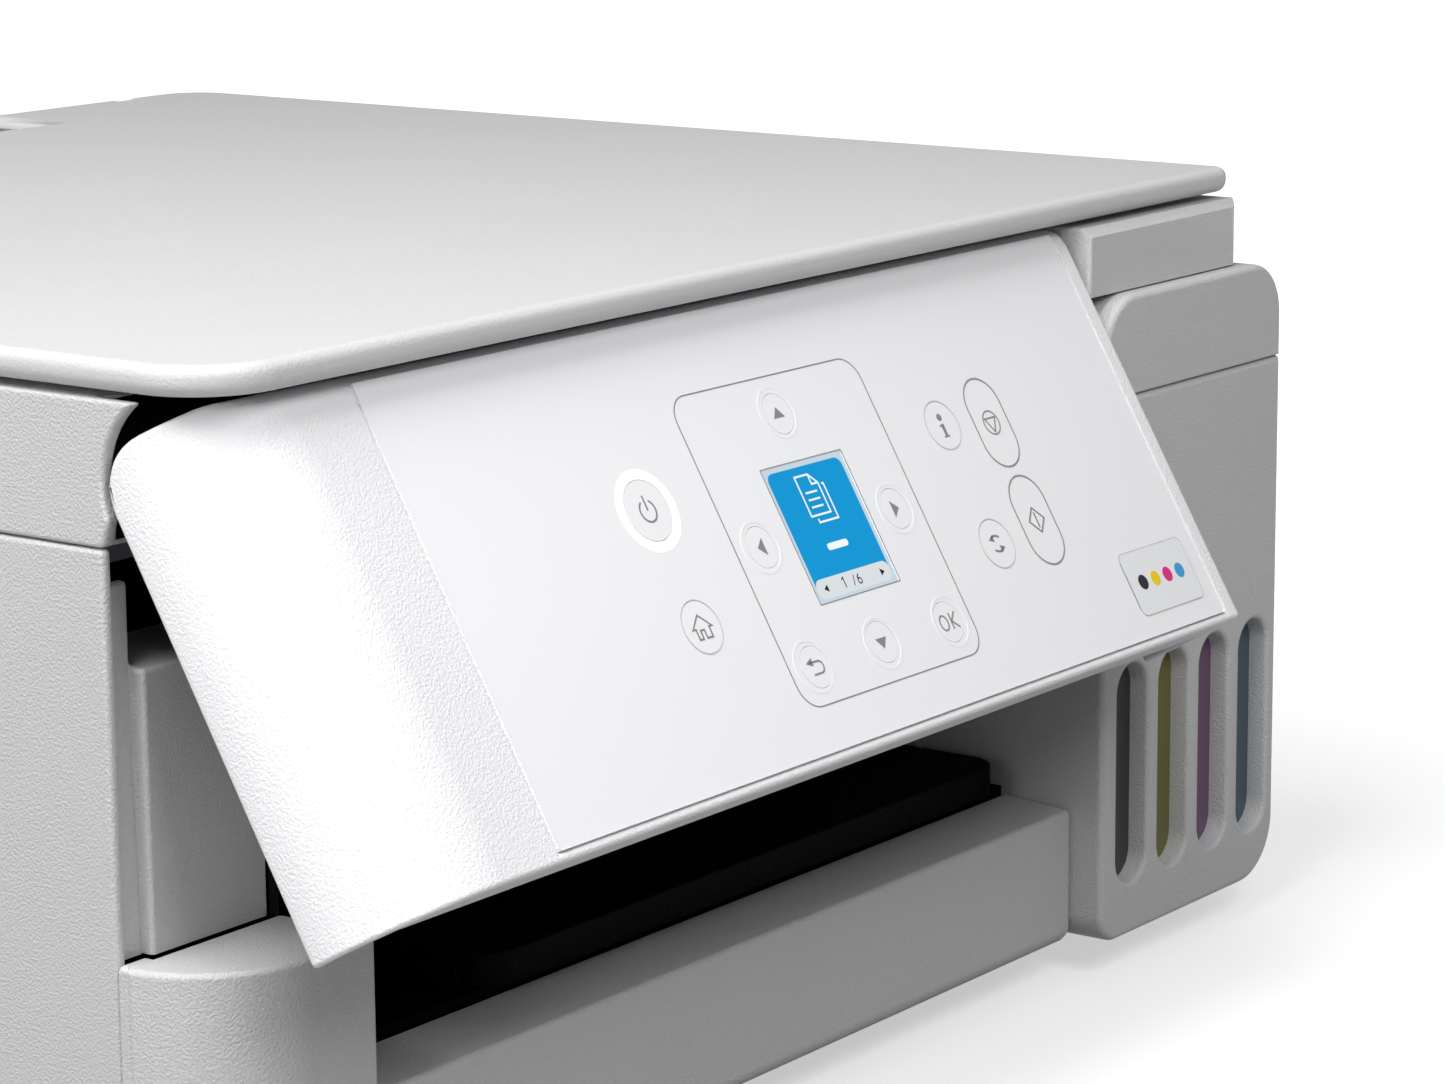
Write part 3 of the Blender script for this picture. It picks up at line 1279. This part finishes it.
@dataclass
class TankUnit(Assembly):
    """The ink tanks in their housing, with the cover, caps and tubes."""

    edge_mm: float = 1.6
    window_mm: Pair = (20.5, 76.5)
    window_w_mm: float = 16.2
    liner_mm: float = 1.2
    lip_mm: float = 1.12
    depth_mm: float = 5.9
    slack_mm: float = 0.02
    tick_mm: float = 0.3
    pane_mm: float = 5.1
    hood_radii_mm: Pair = (19.0, 13.0)
    front_deep_mm: float = 7.0
    side_share: float = 0.35
    rest_share: float = 0.25

    def front(self) -> WorkPlane:
        """Returns the plane of the unit's front face."""
        return upright(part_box("tank_housing")[0].y)

    def window_middles(self) -> dict[str, float]:
        """Returns where each ink's window lies across the machine, in millimetres."""
        boxes = {ink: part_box(f"ink_{ink}") for ink in INKS}
        return {ink: (low.x + high.x) / 2 / MM for ink, (low, high) in boxes.items()}

    def housing_share(self, a: Vector, b: Vector) -> float:
        """Gives the front's outer edges the full rounding, the rest less and the windows none.

        Args:
            a: One end of the edge.
            b: The other end.

        Returns:
            Its share of the rounding, from 0 to 1.
        """
        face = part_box("tank_housing")[0].y
        z0, z1 = (v * MM for v in self.window_mm)
        first, *_, last = self.window_middles().values()
        reach = (self.window_w_mm / 2 + 0.2) * MM
        at_front = max(a.y, b.y) < face + self.front_deep_mm * MM
        in_windows = z0 - MM < a.z < z1 + MM and first * MM - reach < a.x < last * MM + reach
        if at_front and in_windows:
            return 0.0
        return 1.0 if max(a.y, b.y) < face + NEAR else self.side_share

    def liner(self, ink: str, x: float) -> None:
        """Builds a window's sloped rim.

        Args:
            ink: The ink's name.
            x: The window's middle across the machine, in millimetres.
        """
        front = self.front()
        z0, z1 = self.window_mm
        half = self.window_w_mm / 2
        off = self.slack_mm
        outline = rounded(self.window_w_mm - off, z1 - z0 - off, half - off, (x, (z0 + z1) / 2))
        rim = front.loop("liner", outline, self.liner_mm, -self.depth_mm, -off)

        def inner(a: Vector, b: Vector) -> bool:
            """Says whether an edge is on the rim's inner front edge.

            Args:
                a: One end of the edge.
                b: The other end.

            Returns:
                Whether it is.
            """
            if min(-a.y, -b.y) < -front.origin.y - NEAR:
                return False
            ends = [(end.x / MM - x, end.z / MM) for end in (a, b)]
            reach = max(math.hypot(side, z - min(max(z, z0 + half), z1 - half)) for side, z in ends)
            return reach < half - self.liner_mm / 2

        round_edges(rim, inner, self.lip_mm * MM, 3)
        smooth(rim)
        rim.name = f"window_liner_{ink}"
        self.place(rim, Look.CASE, "case", "case_plastic")

    def windows(self) -> None:
        """Builds each window's rim, coloured pane, raised level marks and pip."""
        front = self.front()
        z0, z1 = self.window_mm
        wide, tall = (size - 2 * self.liner_mm for size in (self.window_w_mm, z1 - z0))
        tank = (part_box("ink_tanks")[0].y - front.origin.y) / MM
        skin = -self.pane_mm
        for ink, x in self.window_middles().items():
            self.liner(ink, x)
            outline = rounded(wide, tall, wide / 2, (x, (z0 + z1) / 2))
            pane = front.plate(f"tank_pane_{ink}", outline, -tank, skin)
            self.place(pane, Look[f"INK_{ink.upper()}"], "case", "clear_tank")
            signs = (
                rounded(2.2, self.tick_mm, 0.14, (x - 2.4, z1 - 9.0)),
                circle((x - 1.6, z1 - 12.6), 0.55, 12),
                circle((x - 1.6, z0 + 7.0), 0.45, 12),
            )
            ticks = [front.plate("tick", sign, skin, skin + 0.2) for sign in signs]
            self.place(joined(f"level_marks_{ink}", ticks), Look.LEVEL, "case", "clear_tank")
            outline = rounded(0.7, 3.0, 0.3, (x, z1 + 6.2))
            pip = front.plate(f"window_pip_{ink}", outline, -0.05, 0.25)
            self.place(pip, Look.CASE, "case", "case_plastic")

    def tighten_hood(self, piece: Piece) -> None:
        """Gives the hood's two top corners their smaller radius."""
        low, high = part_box("tank_cover")
        for side, x in ((-1, low.x), (1, high.x)):
            tighten(piece, (0, 2), (x, high.z), (side, 1), self.hood_radii_mm, self.skin_mm)

    def build(self) -> None:
        """Builds the tank unit."""
        edge, hood = self.edge_mm, self.tighten_hood
        shell = self.soften("tank_housing", "tank_shell", edge, 4, self.housing_share, hood)
        self.place(shell, Look.CASE, "case", "case_plastic", "tank_housing")
        cover = self.soften("tank_cover", "cover_shell", edge, 4, self.cover_share, hood)
        self.place(cover, Look.CASE, "tank_cover", "case_plastic", "tank_cover")
        self.windows()
        self.paint(Look.TANK, "ink_tanks")
        self.paint(Look.TUBE, "ink_tubes")
        for ink in INKS:
            for part in ("ink", "cap"):
                self.paint(Look[f"{part}_{ink}".upper()], f"{part}_{ink}")

    def cover_share(self, a: Vector, b: Vector) -> float:
        """Gives the cover's front top edge the full rounding and the rest less.

        Args:
            a: One end of the edge.
            b: The other end.

        Returns:
            Its share of the rounding, from 0 to 1.
        """
        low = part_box("tank_cover")[0]
        at_front = max(a.y, b.y) < low.y + NEAR
        above = max(a.z, b.z) > low.z + MM
        return 1.0 if at_front and above else self.rest_share


@dataclass
class PaperPath(Assembly):
    """The outlet's frame, the trays and the rear feeder."""

    edge_mm: float = 0.6

    def build(self) -> None:
        """Builds the paper path."""
        for node, name, body in (
            ("output_tray", "tray_plate", "tray"),
            ("tray_extension", "tray_front", "tray_extension"),
        ):
            piece = self.soften(node, name, self.edge_mm)
            self.place(piece, Look.BLACK, body, "black_plastic", node)
        self.paint(Look.BLACK, "front_frame", "tray_stopper")
        self.paint(Look.CASE, "paper_support", "support_extension", "feeder_guard")
        self.paint(Look.DARK, "edge_guide_left", "edge_guide_right")


@dataclass
class Mechanism(Assembly):
    """The print mechanism inside."""

    def build(self) -> None:
        """Builds the mechanism."""
        self.paint(Look.STEEL, "main_frame", "carriage_rail", "belt_motor", "print_head")
        self.paint(Look.RUBBER, "carriage_belt")
        self.paint(Look.WHITE, "drive_pulley")
        self.paint(Look.DARK, "platen", "print_carriage")
        self.paint(Look.ROLLER, "feed_roller", "eject_roller")
        self.paint(Look.BOARD, "main_board")


def main() -> None:
    """Builds every assembly in order."""
    logging.basicConfig(level=logging.INFO, format="%(message)s")
    assemblies = (
        Studio("studio"),
        LowerBody("lower body"),
        ScannerUnit("scanner"),
        ControlPanel("panel"),
        TankUnit("tank unit"),
        PaperPath("paper path"),
        Mechanism("mechanism"),
    )
    for assembly in assemblies:
        assembly.build()


if __name__ == "__main__":
    main()
